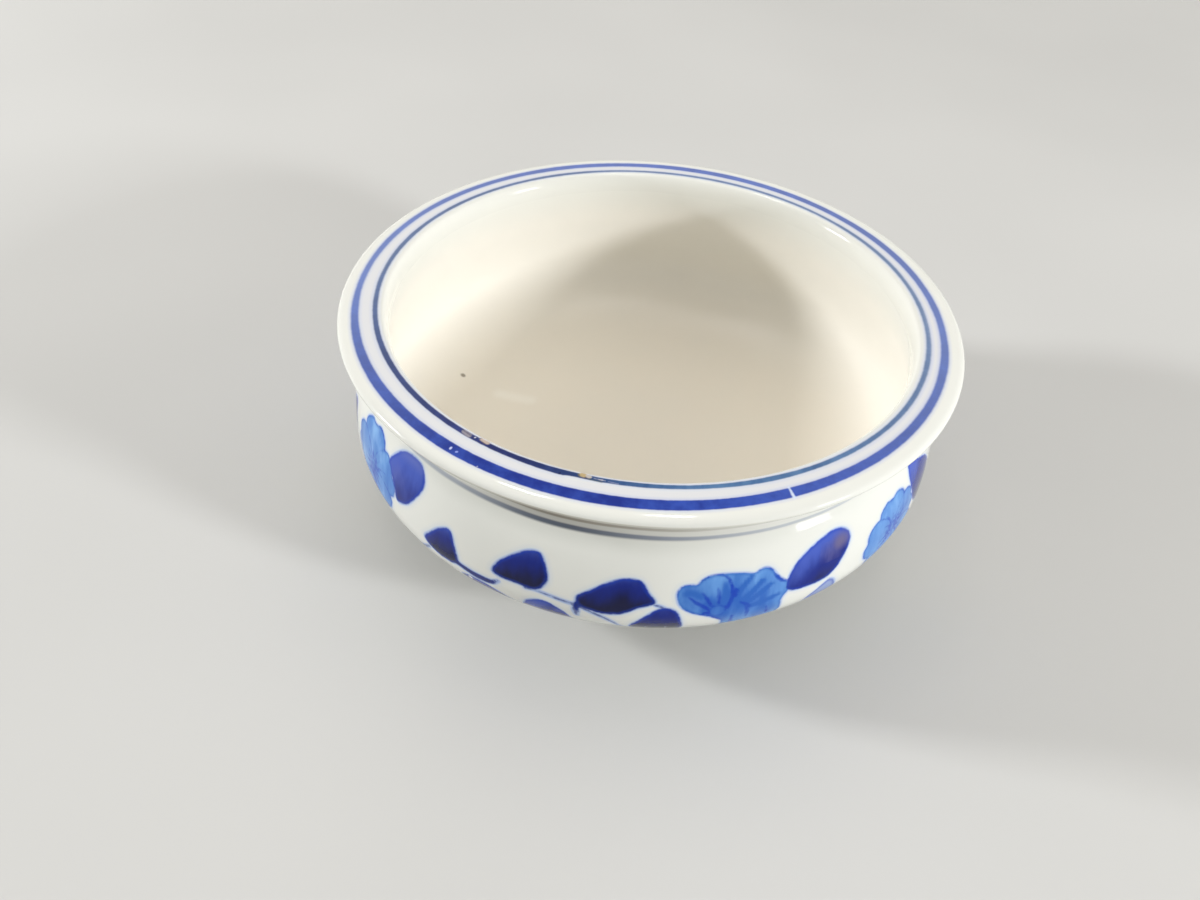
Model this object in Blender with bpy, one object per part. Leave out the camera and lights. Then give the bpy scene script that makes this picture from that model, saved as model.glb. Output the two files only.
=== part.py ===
"""Small round catch-all bowl of glazed porcelain, in metres, +Z up.

The bowl is one turned piece: a flat rim with a rolled edge, a recessed neck under it, a round belly,
a low foot ring and a wide, shallow hollow with walls of real thickness. The origin is on the
surface that the bowl stands on, at the middle of the foot ring.
"""

from math import asin, cos, pi, radians, sin, sqrt

import bpy

MM = 0.001

# Driving dimensions of the outside
BOWL_HEIGHT = 45.0 * MM
RIM_RADIUS = 60.0 * MM
RIM_THICKNESS = 2.8 * MM
ROLL_WIDTH = 2.6 * MM
NECK_RADIUS = 55.3 * MM
NECK_HEIGHT = 6.2 * MM
BELLY_RADIUS = 58.8 * MM
BELLY_HEIGHT = 21.1 * MM
BASE_RADIUS = 27.0 * MM
FOOT_RADIUS = 33.0 * MM
FOOT_HEIGHT = 3.6 * MM
FOOT_WIDTH = 3.4 * MM

# Driving dimensions of the inside and the underside
MOUTH_RADIUS = 50.7 * MM
LIP_ROUND = 1.2 * MM
WALL = 3.3 * MM
FLOOR_THICKNESS = 4.8 * MM
FLOOR_RADIUS = 26.0 * MM
RECESS_DEPTH = 3.0 * MM

# Small fillets
FLANGE_FILLET = 1.8 * MM
FOOT_FILLET = 1.2 * MM
FOOT_EDGE = 0.6 * MM

# How far past the neck the shoulder's curve would run on before it turned level
SHOULDER_OVERRUN = 1.07

# Fineness of the turned surface: steps around the axis, and along each curve of the profile
STEPS_AROUND = 64
HOLLOW_STEPS = 11
WALL_STEPS = 6
ROLL_STEPS = 8
SHOULDER_STEPS = 6
BELLY_STEPS = 10
FILLET_STEPS = 3
EDGE_STEPS = 2
SHARP_ANGLE = radians(35)

# Colour and finish of the glaze
GLAZE_COLOUR = (0.83, 0.83, 0.78, 1.0)
GLAZE_ROUGHNESS = 0.12


def clear_scene():
    for thing in list(bpy.data.objects):
        bpy.data.objects.remove(thing, do_unlink=True)


def ellipse_arc(centre_r, centre_z, half_r, half_z, start, end, steps):
    """Points (radius, height) on an ellipse from one angle to another, in degrees."""
    points = []
    for step in range(steps + 1):
        angle = radians(start + (end - start) * step / steps)
        points.append((centre_r + half_r * cos(angle), centre_z + half_z * sin(angle)))
    return points


def inner_profile():
    """From the middle of the floor outwards, up the wall and round the lip's inner edge."""
    floor_z = RECESS_DEPTH + FLOOR_THICKNESS
    wall_radius = BELLY_RADIUS - WALL
    bowl_curve = ellipse_arc(
        FLOOR_RADIUS, BELLY_HEIGHT, wall_radius - FLOOR_RADIUS, BELLY_HEIGHT - floor_z,
        270, 360, HOLLOW_STEPS
    )
    lip_z = BOWL_HEIGHT - LIP_ROUND
    wall = []
    for step in range(1, WALL_STEPS):
        rise = step / WALL_STEPS
        draw_in = rise * rise * (3 - 2 * rise)
        radius = wall_radius + (MOUTH_RADIUS - wall_radius) * draw_in
        wall.append((radius, BELLY_HEIGHT + (lip_z - BELLY_HEIGHT) * rise))
    lip = ellipse_arc(MOUTH_RADIUS + LIP_ROUND, lip_z, LIP_ROUND, LIP_ROUND, 180, 90, FILLET_STEPS)
    return [(0.0, floor_z)] + bowl_curve + wall + lip


def rim_profile():
    """The rolled outer edge of the rim, from its flat top round to its underside."""
    half = RIM_THICKNESS / 2
    return ellipse_arc(
        RIM_RADIUS - ROLL_WIDTH, BOWL_HEIGHT - half, ROLL_WIDTH, half, 90, -90, ROLL_STEPS
    )


def neck_profile():
    """The fillet under the rim and the recessed neck, down to the crease above the shoulder."""
    fillet_z = BOWL_HEIGHT - RIM_THICKNESS - FLANGE_FILLET
    fillet = ellipse_arc(
        NECK_RADIUS + FLANGE_FILLET, fillet_z, FLANGE_FILLET, FLANGE_FILLET,
        90, 180, FILLET_STEPS
    )
    return fillet + [(NECK_RADIUS, crease_height())]


def crease_height():
    return BOWL_HEIGHT - RIM_THICKNESS - NECK_HEIGHT


def shoulder_profile():
    """From the crease out to the widest part of the belly, on a quarter of an ellipse."""
    drop = crease_height() - BELLY_HEIGHT
    half_z = drop * SHOULDER_OVERRUN
    half_r = (BELLY_RADIUS - NECK_RADIUS) / (1 - sqrt(1 - 1 / SHOULDER_OVERRUN ** 2))
    top_angle = asin(1 / SHOULDER_OVERRUN) * 180 / pi
    curve = ellipse_arc(
        BELLY_RADIUS - half_r, BELLY_HEIGHT, half_r, half_z, top_angle, 0, SHOULDER_STEPS
    )
    return curve[1:]


def belly_profile():
    """From the widest part of the belly in and under, to the fillet above the foot ring."""
    half_r = BELLY_RADIUS - BASE_RADIUS
    half_z = BELLY_HEIGHT - FOOT_HEIGHT
    reach = FOOT_RADIUS + FOOT_FILLET - BASE_RADIUS
    end_angle = -90 + asin(reach / half_r) * 180 / pi
    curve = ellipse_arc(BASE_RADIUS, BELLY_HEIGHT, half_r, half_z, 0, end_angle, BELLY_STEPS)
    return curve[1:]


def foot_profile(fillet_top):
    """The foot ring, from the fillet on its outside round its flat base to the recess."""
    outer = ellipse_arc(
        FOOT_RADIUS + FOOT_FILLET, fillet_top - FOOT_FILLET, FOOT_FILLET, FOOT_FILLET,
        90, 180, FILLET_STEPS
    )
    edge = ellipse_arc(
        FOOT_RADIUS - FOOT_EDGE, FOOT_EDGE, FOOT_EDGE, FOOT_EDGE, 0, -90, EDGE_STEPS
    )
    inner_radius = FOOT_RADIUS - FOOT_WIDTH
    inner_edge = ellipse_arc(
        inner_radius + FOOT_EDGE, FOOT_EDGE, FOOT_EDGE, FOOT_EDGE, 270, 180, EDGE_STEPS
    )
    recess = ellipse_arc(
        inner_radius - FOOT_FILLET, RECESS_DEPTH - FOOT_FILLET, FOOT_FILLET, FOOT_FILLET,
        0, 90, FILLET_STEPS
    )
    return outer[1:] + edge + inner_edge + recess + [(0.0, RECESS_DEPTH)]


def bowl_profile():
    belly = belly_profile()
    return (
        inner_profile()
        + rim_profile()
        + neck_profile()
        + shoulder_profile()
        + belly
        + foot_profile(belly[-1][1])
    )


def turned_object(name, profile):
    """A closed solid turned about Z from a profile that starts and ends on the axis."""
    mesh = bpy.data.meshes.new(name)
    points = [(radius, 0.0, height) for radius, height in profile]
    edges = [(i, i + 1) for i in range(len(points) - 1)]
    mesh.from_pydata(points, edges, [])
    thing = bpy.data.objects.new(name, mesh)
    bpy.context.scene.collection.objects.link(thing)
    screw = thing.modifiers.new("turn", "SCREW")
    screw.axis = "Z"
    screw.angle = 2 * pi
    screw.steps = STEPS_AROUND
    screw.render_steps = STEPS_AROUND
    screw.use_merge_vertices = True
    screw.merge_threshold = 0.00001
    screw.use_smooth_shade = True
    return thing


def glaze_material():
    material = bpy.data.materials.new("glazed_porcelain")
    material.use_nodes = True
    shader = material.node_tree.nodes["Principled BSDF"]
    shader.inputs["Base Color"].default_value = GLAZE_COLOUR
    shader.inputs["Roughness"].default_value = GLAZE_ROUGHNESS
    shader.inputs["Metallic"].default_value = 0.0
    return material


def finish_mesh(thing, material):
    """Applies the turning, so that sharp edges can be marked, and gives the piece its glaze."""
    graph = bpy.context.evaluated_depsgraph_get()
    turned = bpy.data.meshes.new_from_object(thing.evaluated_get(graph))
    thing.modifiers.clear()
    thing.data = turned
    turned.shade_smooth()
    turned.set_sharp_from_angle(angle=SHARP_ANGLE)
    turned.materials.clear()
    turned.materials.append(material)


def main():
    clear_scene()
    bowl = turned_object("bowl", bowl_profile())
    finish_mesh(bowl, glaze_material())


main()
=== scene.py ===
from math import asin, cos, radians, sin, sqrt

import bpy
import numpy as np
from mathutils import Matrix, Vector


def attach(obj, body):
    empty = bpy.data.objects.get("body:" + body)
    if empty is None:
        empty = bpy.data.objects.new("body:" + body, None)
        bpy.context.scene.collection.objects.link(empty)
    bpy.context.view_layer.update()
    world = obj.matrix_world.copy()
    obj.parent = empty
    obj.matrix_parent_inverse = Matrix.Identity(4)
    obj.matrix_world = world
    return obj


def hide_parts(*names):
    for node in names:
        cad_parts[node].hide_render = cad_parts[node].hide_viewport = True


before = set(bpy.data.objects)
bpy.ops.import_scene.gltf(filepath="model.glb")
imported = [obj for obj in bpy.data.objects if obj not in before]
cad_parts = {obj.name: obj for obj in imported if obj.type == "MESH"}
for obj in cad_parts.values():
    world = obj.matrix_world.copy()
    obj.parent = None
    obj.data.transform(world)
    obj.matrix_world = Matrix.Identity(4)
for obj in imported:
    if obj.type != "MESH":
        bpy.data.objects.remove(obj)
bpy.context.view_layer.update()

# The bowl is worked out in millimetres: angles run in degrees round Z from +X, and -90 faces the
# camera. A point of the surface is given by its angle and by "along", the length of the profile from
# the crease under the neck: downwards over the belly it is positive, up over the rim negative.
MM = 0.001

# Profile of the bowl, the same values as the solid's, but the lip falls away more softly
BOWL_HEIGHT = 45.0
RIM_RADIUS = 60.0
RIM_THICKNESS = 2.8
ROLL_WIDTH = 2.6
NECK_RADIUS = 55.3
NECK_HEIGHT = 6.2
BELLY_RADIUS = 58.8
BELLY_HEIGHT = 21.1
BASE_RADIUS = 27.0
FOOT_RADIUS = 33.0
FOOT_HEIGHT = 3.6
FOOT_WIDTH = 3.4
MOUTH_RADIUS = 50.7
LIP_ROUND = 1.2
LIP_FALL = 3.2
WALL = 3.3
FLOOR_THICKNESS = 4.8
FLOOR_RADIUS = 26.0
RECESS_DEPTH = 3.0
FLANGE_FILLET = 1.8
FOOT_FILLET = 1.2
FOOT_EDGE = 0.6
SHOULDER_OVERRUN = 1.07

# Softness of the crease where glaze has gathered, and unevenness of the hand-finished form
CREASE_SOFTNESS = 0.8
RIM_UNEVENNESS = 0.14
BODY_UNEVENNESS = 0.16

# Columns round the bowl: on plain parts, on the rim, and where the belly is painted. The first is
# at the first angle.
PLAIN_COLUMNS = 192
RIM_COLUMNS = 384
PAINTED_COLUMNS = 768
FIRST_ANGLE = -150.0

# The rings near the axis, by distance and columns
POLE_RINGS = ((3.0, 12), (6.0, 24), (9.0, 48), (14.0, 96))

# Where stretches of rings end along the profile, and the spacing of their rings
HOLLOW_START = 20.0
LIP_LEAD = 1.0
PAINTED_START = -0.5
PAINTED_DEPTH = 27.0
PAINTED_MARGIN = 1.2
FOOT_LEAD = 0.6
RECESS_LEAD = 0.01
RECESS_REST = 15.0
HOLLOW_SPACING = 1.5
RIM_SPACING = 0.44
PAINTED_SPACING = 0.46
MARGIN_SPACING = 0.6
BELLY_SPACING = 1.3
FOOT_SPACING = 0.32
RECESS_SPACING = 1.8


# Profile

def arc(centre_r, centre_z, half_r, half_z, start, end, steps=60):
    angles = np.radians(np.linspace(start, end, steps + 1))
    return np.stack([centre_r + half_r * np.cos(angles), centre_z + half_z * np.sin(angles)], 1)


def hollow_curve():
    """From the middle of the floor up to the lip."""
    floor_z = RECESS_DEPTH + FLOOR_THICKNESS
    wall_radius = BELLY_RADIUS - WALL
    curve = arc(
        FLOOR_RADIUS, BELLY_HEIGHT, wall_radius - FLOOR_RADIUS, BELLY_HEIGHT - floor_z, 270, 360
    )
    rise = np.linspace(0, 1, 41)[1:-1]
    radius = wall_radius + (MOUTH_RADIUS - wall_radius) * rise * rise * (3 - 2 * rise)
    height = BELLY_HEIGHT + (BOWL_HEIGHT - LIP_FALL - BELLY_HEIGHT) * rise
    return np.vstack([[(0.0, floor_z)], curve, np.stack([radius, height], 1)])


def rim_curve():
    """From the lip over the flat rim and its roll to the top of the neck."""
    lip = arc(MOUTH_RADIUS + LIP_ROUND, BOWL_HEIGHT - LIP_FALL, LIP_ROUND, LIP_FALL, 180, 90)
    half = RIM_THICKNESS / 2
    roll = arc(RIM_RADIUS - ROLL_WIDTH, BOWL_HEIGHT - half, ROLL_WIDTH, half, 90, -90)
    fillet_z = BOWL_HEIGHT - RIM_THICKNESS - FLANGE_FILLET
    fillet = arc(NECK_RADIUS + FLANGE_FILLET, fillet_z, FLANGE_FILLET, FLANGE_FILLET, 90, 180)
    return np.vstack([lip, roll, fillet])


def belly_curve():
    """From the crease over the shoulder and the belly to the foot ring."""
    crease_z = BOWL_HEIGHT - RIM_THICKNESS - NECK_HEIGHT
    half_z = (crease_z - BELLY_HEIGHT) * SHOULDER_OVERRUN
    half_r = (BELLY_RADIUS - NECK_RADIUS) / (1 - sqrt(1 - 1 / SHOULDER_OVERRUN ** 2))
    top = np.degrees(asin(1 / SHOULDER_OVERRUN))
    shoulder = arc(BELLY_RADIUS - half_r, BELLY_HEIGHT, half_r, half_z, top, 0)
    half_r = BELLY_RADIUS - BASE_RADIUS
    end = -90 + np.degrees(asin((FOOT_RADIUS + FOOT_FILLET - BASE_RADIUS) / half_r))
    belly = arc(BASE_RADIUS, BELLY_HEIGHT, half_r, BELLY_HEIGHT - FOOT_HEIGHT, 0, end, 120)
    return np.vstack([shoulder, belly[1:]])


def foot_curve(top_z):
    """The foot ring and the recess inside it, to the axis."""
    outer = arc(FOOT_RADIUS + FOOT_FILLET, top_z - FOOT_FILLET, FOOT_FILLET, FOOT_FILLET, 90, 180)
    edge = arc(FOOT_RADIUS - FOOT_EDGE, FOOT_EDGE, FOOT_EDGE, FOOT_EDGE, 0, -90, 20)
    inner_radius = FOOT_RADIUS - FOOT_WIDTH
    inner_edge = arc(inner_radius + FOOT_EDGE, FOOT_EDGE, FOOT_EDGE, FOOT_EDGE, 270, 180, 20)
    recess = arc(
        inner_radius - FOOT_FILLET, RECESS_DEPTH - FOOT_FILLET, FOOT_FILLET, FOOT_FILLET, 0, 90
    )
    return np.vstack([outer[1:], edge, inner_edge, recess, [(0.0, RECESS_DEPTH)]])


class Profile:
    """The turned outline, read by its length along from the crease."""

    def __init__(self):
        hollow = hollow_curve()
        rim = rim_curve()
        belly = belly_curve()
        foot = foot_curve(belly[-1][1])
        parts = [hollow, rim, belly, foot]
        self.points = np.vstack(parts)
        steps = np.hypot(*np.diff(self.points, axis=0).T)
        lengths = np.concatenate([[0], np.cumsum(steps)])
        ends = np.cumsum([len(part) for part in parts])
        crease = lengths[ends[1]]
        self.lengths = lengths - crease
        self.start = self.lengths[0]
        self.lip = self.lengths[ends[0]]
        self.foot = self.lengths[ends[2] - 1]
        self.recess = self.lengths[-2]
        self.end = self.lengths[-1]

    def read(self, along):
        radius = np.interp(along, self.lengths, self.points[:, 0])
        height = np.interp(along, self.lengths, self.points[:, 1])
        return radius, height

    def softened(self, along):
        """The same outline, with the sharp crease rounded."""
        reach = CREASE_SOFTNESS * np.clip(1.6 - np.abs(along) / CREASE_SOFTNESS, 0, 1)
        offsets = np.linspace(-1, 1, 21)
        radius, height = self.read(along[:, None] + reach[:, None] * offsets)
        return radius.mean(1), height.mean(1)

    def rim_place(self, radius):
        """The length along at a radius of the flat top of the rim."""
        low = int(np.argmax(self.points[:, 1] > BOWL_HEIGHT - 0.02))
        high = low + int(np.argmax(self.points[low:, 0] > RIM_RADIUS - 0.5))
        return np.interp(radius, self.points[low:high, 0], self.lengths[low:high])


# Mesh

def rows_of(profile):
    """The rings of the mesh, each as its length along and its number of columns."""
    rows = []

    def run(start, end, spacing, columns):
        count = max(1, round((end - start) / spacing))
        for step in range(count):
            rows.append((start + (end - start) * step / count, columns))

    belt_top = profile.lip - LIP_LEAD
    belt_end = PAINTED_DEPTH + PAINTED_MARGIN
    foot_start = profile.foot - FOOT_LEAD
    recess_start = profile.recess + RECESS_LEAD
    for reach, columns in POLE_RINGS:
        rows.append((profile.start + reach, columns))
    run(profile.start + HOLLOW_START, belt_top, HOLLOW_SPACING, PLAIN_COLUMNS)
    run(belt_top, PAINTED_START, RIM_SPACING, RIM_COLUMNS)
    run(PAINTED_START, PAINTED_DEPTH, PAINTED_SPACING, PAINTED_COLUMNS)
    run(PAINTED_DEPTH, belt_end, MARGIN_SPACING, RIM_COLUMNS)
    run(belt_end, foot_start, BELLY_SPACING, PLAIN_COLUMNS)
    run(foot_start, recess_start, FOOT_SPACING, PLAIN_COLUMNS)
    run(recess_start, profile.end - RECESS_REST, RECESS_SPACING, PLAIN_COLUMNS)
    for reach, columns in reversed(POLE_RINGS):
        rows.append((profile.end - reach, columns))
    return rows


def ring_faces(first, first_count, second, second_count):
    """Faces between two rings, of which one may have twice the other's columns."""
    faces = []
    if first_count == second_count:
        for i in range(first_count):
            j = (i + 1) % first_count
            faces.append((first + i, first + j, second + j, second + i))
        return faces
    coarse, count, fine = first, first_count, second
    if second_count < first_count:
        coarse, count, fine = second, second_count, first
    for i in range(count):
        a, b = coarse + i, coarse + (i + 1) % count
        c, d, e = fine + 2 * i, fine + 2 * i + 1, fine + (2 * i + 2) % (2 * count)
        corner = [(a, d, c), (a, b, d), (b, e, d)]
        if second_count < first_count:
            corner = [face[::-1] for face in corner]
        faces.extend(corner)
    return faces


def uneven(angle, radius, height):
    """Shrinks the form a little here and there, as a hand-finished bowl is."""
    turn = np.radians(angle)
    share = np.clip(height / BOWL_HEIGHT, 0, 1) * np.clip(radius / 40.0, 0, 1)
    oval = 0.5 - 0.5 * np.cos(2 * turn + 0.7)
    ripple = 0.5 - 0.25 * np.cos(3 * turn + 1.9) - 0.25 * np.cos(5 * turn + height * 0.06)
    radius = radius - share * (RIM_UNEVENNESS * oval + BODY_UNEVENNESS * ripple * (1 - share ** 4))
    dip = 0.5 - 0.3 * np.cos(turn - 2.2) - 0.2 * np.cos(3 * turn + 0.4)
    height = height - RIM_UNEVENNESS * share ** 3 * dip
    return radius, height


def bowl_mesh(profile):
    """The turned mesh, with the angle and the length along of each vertex."""
    rows = rows_of(profile)
    along = np.concatenate([np.full(count, place) for place, count in rows])
    angle = np.concatenate([FIRST_ANGLE + 360.0 * np.arange(count) / count for _, count in rows])
    radius, height = profile.softened(along)
    radius, height = uneven(angle, radius, height)
    turn = np.radians(angle)
    points = np.stack([radius * np.cos(turn), radius * np.sin(turn), height], 1) * MM
    ends = np.array([[0, 0, profile.points[0][1]], [0, 0, profile.points[-1][1]]]) * MM
    faces = []
    start = 0
    for (_, count), (_, following) in zip(rows[:-1], rows[1:]):
        faces.extend(ring_faces(start, count, start + count, following))
        start += count
    total = len(points)
    first_count, last_count = rows[0][1], rows[-1][1]
    faces.extend((total, (i + 1) % first_count, i) for i in range(first_count))
    faces.extend(
        (total + 1, start + i, start + (i + 1) % last_count) for i in range(last_count)
    )
    mesh = bpy.data.meshes.new("bowl_glazed")
    mesh.from_pydata(np.vstack([points, ends]).tolist(), [], faces)
    mesh.shade_smooth()
    along = np.concatenate([along, [profile.start, profile.end]])
    angle = np.concatenate([angle, [0.0, 0.0]])
    return mesh, angle, along


# Painted decoration. Its outlines are given as (angle in degrees, length along in mm): on this bowl a
# degree is about a millimetre, so both are read as one plane. Distances to an edge are worked out
# within REACH of it, and count as FAR elsewhere.

FAR = 9.0
REACH = 2.5


def wrapped(angle):
    return (angle + 180.0) % 360.0 - 180.0


def smooth_line(points, closed, steps=7):
    """A Catmull-Rom curve through the points."""
    points = np.array(points, float)
    if closed:
        padded = np.vstack([points[-1:], points, points[:2]])
    else:
        padded = np.vstack([2 * points[0] - points[1], points, 2 * points[-1] - points[-2]])
    t = np.linspace(0, 1, steps, endpoint=False)[:, None]
    line = []
    for a, b, c, d in zip(padded[:-3], padded[1:-2], padded[2:-1], padded[3:]):
        line.append(
            0.5 * (2 * b + (c - a) * t + (2 * a - 5 * b + 4 * c - d) * t ** 2
                   + (3 * b - a - 3 * c + d) * t ** 3)
        )
    if not closed:
        line.append(points[-1:])
    return np.vstack(line)


def to_segments(points, starts, ends):
    """The distance from each point to each segment, and where along the segment it is met."""
    step = ends - starts
    reach = points[:, None, :] - starts[None]
    share = np.clip((reach * step).sum(2) / ((step ** 2).sum(1) + 1e-12), 0, 1)
    return np.hypot(*np.moveaxis(reach - share[..., None] * step, 2, 0)), share


def inside_outline(points, outline):
    x, y = points[:, :1], points[:, 1:]
    ax, ay = outline.T
    bx, by = np.roll(outline, -1, axis=0).T
    crosses = (ay > y) != (by > y)
    edge = (bx - ax) * (y - ay) / (by - ay + 1e-12) + ax
    return (crosses & (x < edge)).sum(1) % 2 == 1


class Painting:
    """The distances, in mm, from each vertex of the painted belly to the edges of what is painted."""

    EDGES = ("leaf", "petal", "ink", "stem")
    TONES = ("leaf_tone", "leaf_painted_shade", "petal_tone", "stain_and_sheen")

    def __init__(self, angle, along):
        self.angle = angle
        self.along = along
        self.usable = (along > -2) & (along < PAINTED_DEPTH + 1)
        count = len(angle)
        self.layers = {name: np.full(count, FAR) for name in self.EDGES}
        self.layers.update({name: np.zeros(count) for name in self.TONES})

    def near(self, shape):
        """The vertices within reach of a shape, and their places as the shape's plane has them."""
        middle = (shape[:, 0].min() + shape[:, 0].max()) / 2
        half = (shape[:, 0].max() - shape[:, 0].min()) / 2 + REACH
        across = wrapped(self.angle - middle)
        low, high = shape[:, 1].min() - REACH, shape[:, 1].max() + REACH
        picked = self.usable & (np.abs(across) < half) & (self.along > low) & (self.along < high)
        index = np.nonzero(picked)[0]
        return index, np.stack([across[index] + middle, self.along[index]], 1)

    def distance(self, outline):
        index, places = self.near(outline)
        gaps, _ = to_segments(places, outline, np.roll(outline, -1, axis=0))
        gap = gaps.min(1)
        return index, places, np.where(inside_outline(places, outline), -gap, gap)

    def leaf(self, points, tone):
        outline = smooth_line(points, True)
        index, places, gap = self.distance(outline)
        layers = self.layers
        nearer = gap < layers["leaf"][index]
        picked = index[nearer]
        middle = outline.mean(0)
        size = np.ptp(outline, axis=0) / 2
        layers["leaf"][picked] = gap[nearer]
        layers["leaf_tone"][picked] = tone
        offset = (places[nearer] - middle) / size
        # Painted shade: a slope across the leaf, so that it is darker towards its lower right
        layers["leaf_painted_shade"][picked] = np.clip(offset[:, 1] + 0.35 * offset[:, 0], -1, 1)

    def stroke(self, layer, points, widths):
        """A brush line through the points, as wide at each point as the widths say."""
        line = smooth_line(points, False)
        places_of = np.linspace(0, len(widths) - 1, len(line))
        half = np.interp(places_of, range(len(widths)), widths) / 2
        index, places = self.near(line)
        gaps, share = to_segments(places, line[:-1], line[1:])
        gap = (gaps - (half[:-1] + (half[1:] - half[:-1]) * share)).min(1)
        target = self.layers[layer]
        target[index] = np.minimum(target[index], gap)

    def wash(self, points, heart, depth=0.5):
        """A filled petal shape, deeper blue towards the flower's heart."""
        outline = smooth_line(points, True)
        index, places, gap = self.distance(outline)
        self.layers["petal"][index] = np.minimum(self.layers["petal"][index], gap)
        away = np.hypot(*(places - heart).T)
        tone = depth * np.exp(-((away / 4.2) ** 2))
        self.layers["petal_tone"][index] = np.maximum(self.layers["petal_tone"][index], tone)
        return index, gap

    def petal(self, points, heart, line_width, depth):
        """A petal over those before it, with an ink line round its free end."""
        index, gap = self.wash(points, heart, depth)
        ink = self.layers["ink"]
        ink[index] = np.minimum(
            np.maximum(ink[index], -gap - 0.1), np.abs(gap + line_width / 2) - line_width / 2
        )

    def ring(self, centre, radius, width):
        """A ring of ink with a pale middle, as at the heart of a flower."""
        index, places = self.near(np.array([centre]))
        away = np.hypot(*(places - centre).T)
        ink, tone = self.layers["ink"], self.layers["petal_tone"]
        within = away < radius
        ink[index[within]] = FAR
        tone[index[within]] = 0.3
        ink[index] = np.minimum(ink[index], np.abs(away - radius) - width / 2)

    def shade(self, points, half, depth):
        """A soft deeper stroke within the wash of a petal."""
        line = smooth_line(points, False)
        index, places = self.near(line)
        gaps, _ = to_segments(places, line[:-1], line[1:])
        tone = self.layers["petal_tone"]
        tone[index] += depth * np.exp(-(gaps.min(1) / half) ** 2)

    def stain_and_sheen_patch(self, centre, radius, strength):
        """A soft brown-grey patch in a leaf: a stain, and in the oval leaf painted sheen."""
        index, places = self.near(np.array([centre]))
        away = np.hypot(*(places - centre).T) / radius
        stain_and_sheen = self.layers["stain_and_sheen"]
        stain_and_sheen[index] = np.maximum(stain_and_sheen[index], strength * np.exp(-away ** 2))


# Outlines of the leaves on the camera's side
LEAF_OVAL = [
    (-135.8, 1.6), (-133.0, 1.0), (-130.4, 1.4), (-128.8, 3.4), (-128.9, 5.3), (-130.1, 7.6),
    (-131.9, 10.3), (-133.5, 11.8), (-136.0, 12.7), (-137.0, 10.0), (-138.6, 7.2), (-139.4, 5.9),
    (-137.6, 3.1),
]
LEAF_STEEP = [
    (-127.9, 15.4), (-126.0, 12.7), (-124.4, 10.9), (-122.3, 9.5), (-121.2, 9.9),
    (-120.5, 12.2), (-119.8, 15.0), (-119.9, 16.6), (-121.8, 17.6), (-125.4, 17.4),
]
LEAF_LOW = [
    (-119.2, 19.2), (-115.5, 18.4), (-112.0, 19.4), (-109.4, 22.0), (-110.2, 24.6),
    (-114.2, 25.8), (-118.2, 24.2), (-119.9, 21.6),
]
LEAF_LEFT = [
    (-112.7, 13.6), (-111.7, 11.1), (-110.0, 9.1), (-107.8, 7.1), (-105.8, 5.9), (-104.0, 6.0),
    (-103.0, 8.2), (-102.5, 10.6), (-103.1, 12.6), (-104.6, 14.3), (-108.0, 14.3),
    (-111.4, 14.3),
]
LEAF_FAINT = [
    (-106.6, 18.8), (-104.8, 17.0), (-102.8, 16.6), (-101.2, 17.3), (-99.4, 19.0), (-98.6, 22.4),
    (-100.4, 25.4), (-104.4, 25.8), (-107.2, 22.6),
]
LEAF_MIDDLE = [
    (-97.5, 13.3), (-95.0, 10.9), (-92.0, 8.6), (-89.6, 7.7), (-87.2, 8.0), (-85.9, 10.2),
    (-84.6, 12.3), (-85.2, 13.2), (-87.5, 14.3), (-90.0, 16.0), (-92.7, 16.6), (-95.0, 16.2),
    (-97.1, 15.2),
]
LEAF_UNDER = [
    (-82.6, 13.9), (-81.0, 14.8), (-80.0, 17.5), (-79.6, 21.0), (-81.2, 24.6), (-84.4, 26.0),
    (-87.6, 23.8), (-88.3, 20.0), (-86.6, 17.0), (-84.4, 14.5),
]
LEAF_RIGHT = [
    (-62.1, 12.3), (-61.7, 9.9), (-60.3, 7.5), (-57.9, 5.6), (-54.8, 4.3), (-52.3, 4.0),
    (-50.2, 5.1), (-49.2, 7.3), (-50.0, 10.1), (-51.6, 12.9), (-54.0, 14.5), (-58.6, 14.5),
    (-61.4, 13.9),
]
LEAF_SLIP = [
    (-56.4, 18.8), (-55.0, 17.0), (-53.7, 15.9), (-52.4, 15.4), (-51.1, 16.7), (-50.3, 19.5),
    (-51.3, 22.5), (-54.0, 23.5), (-56.4, 22.0),
]
LEAF_FAR = [
    (-30.5, 2.3), (-26.5, 3.8), (-22.0, 6.3), (-19.2, 9.8), (-20.0, 13.6), (-23.6, 15.2),
    (-27.2, 12.8), (-29.6, 8.4), (-30.9, 4.8),
]

# The double flower in front: its wash, and the brush lines on it with their widths
DOUBLE_HEARTS = ((-74.1, 15.0), (-69.2, 14.8))
DOUBLE_WASH = [
    (-81.1, 11.8), (-81.2, 10.2), (-80.4, 8.9), (-79.0, 8.6), (-78.1, 8.7), (-77.3, 7.7),
    (-76.1, 7.0), (-74.0, 6.8), (-72.0, 7.0), (-70.0, 7.3), (-68.4, 7.7), (-67.3, 7.1),
    (-66.2, 7.0), (-65.0, 7.9), (-63.7, 9.8), (-62.2, 11.2), (-61.3, 12.4), (-61.5, 13.8),
    (-62.5, 15.5), (-62.3, 18.0), (-62.4, 20.5), (-64.0, 22.8), (-66.6, 24.0), (-68.2, 23.0),
    (-69.8, 24.0), (-72.0, 22.6), (-72.7, 20.0), (-73.3, 18.1), (-75.7, 16.5), (-78.4, 15.3),
    (-80.4, 13.6),
]
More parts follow.
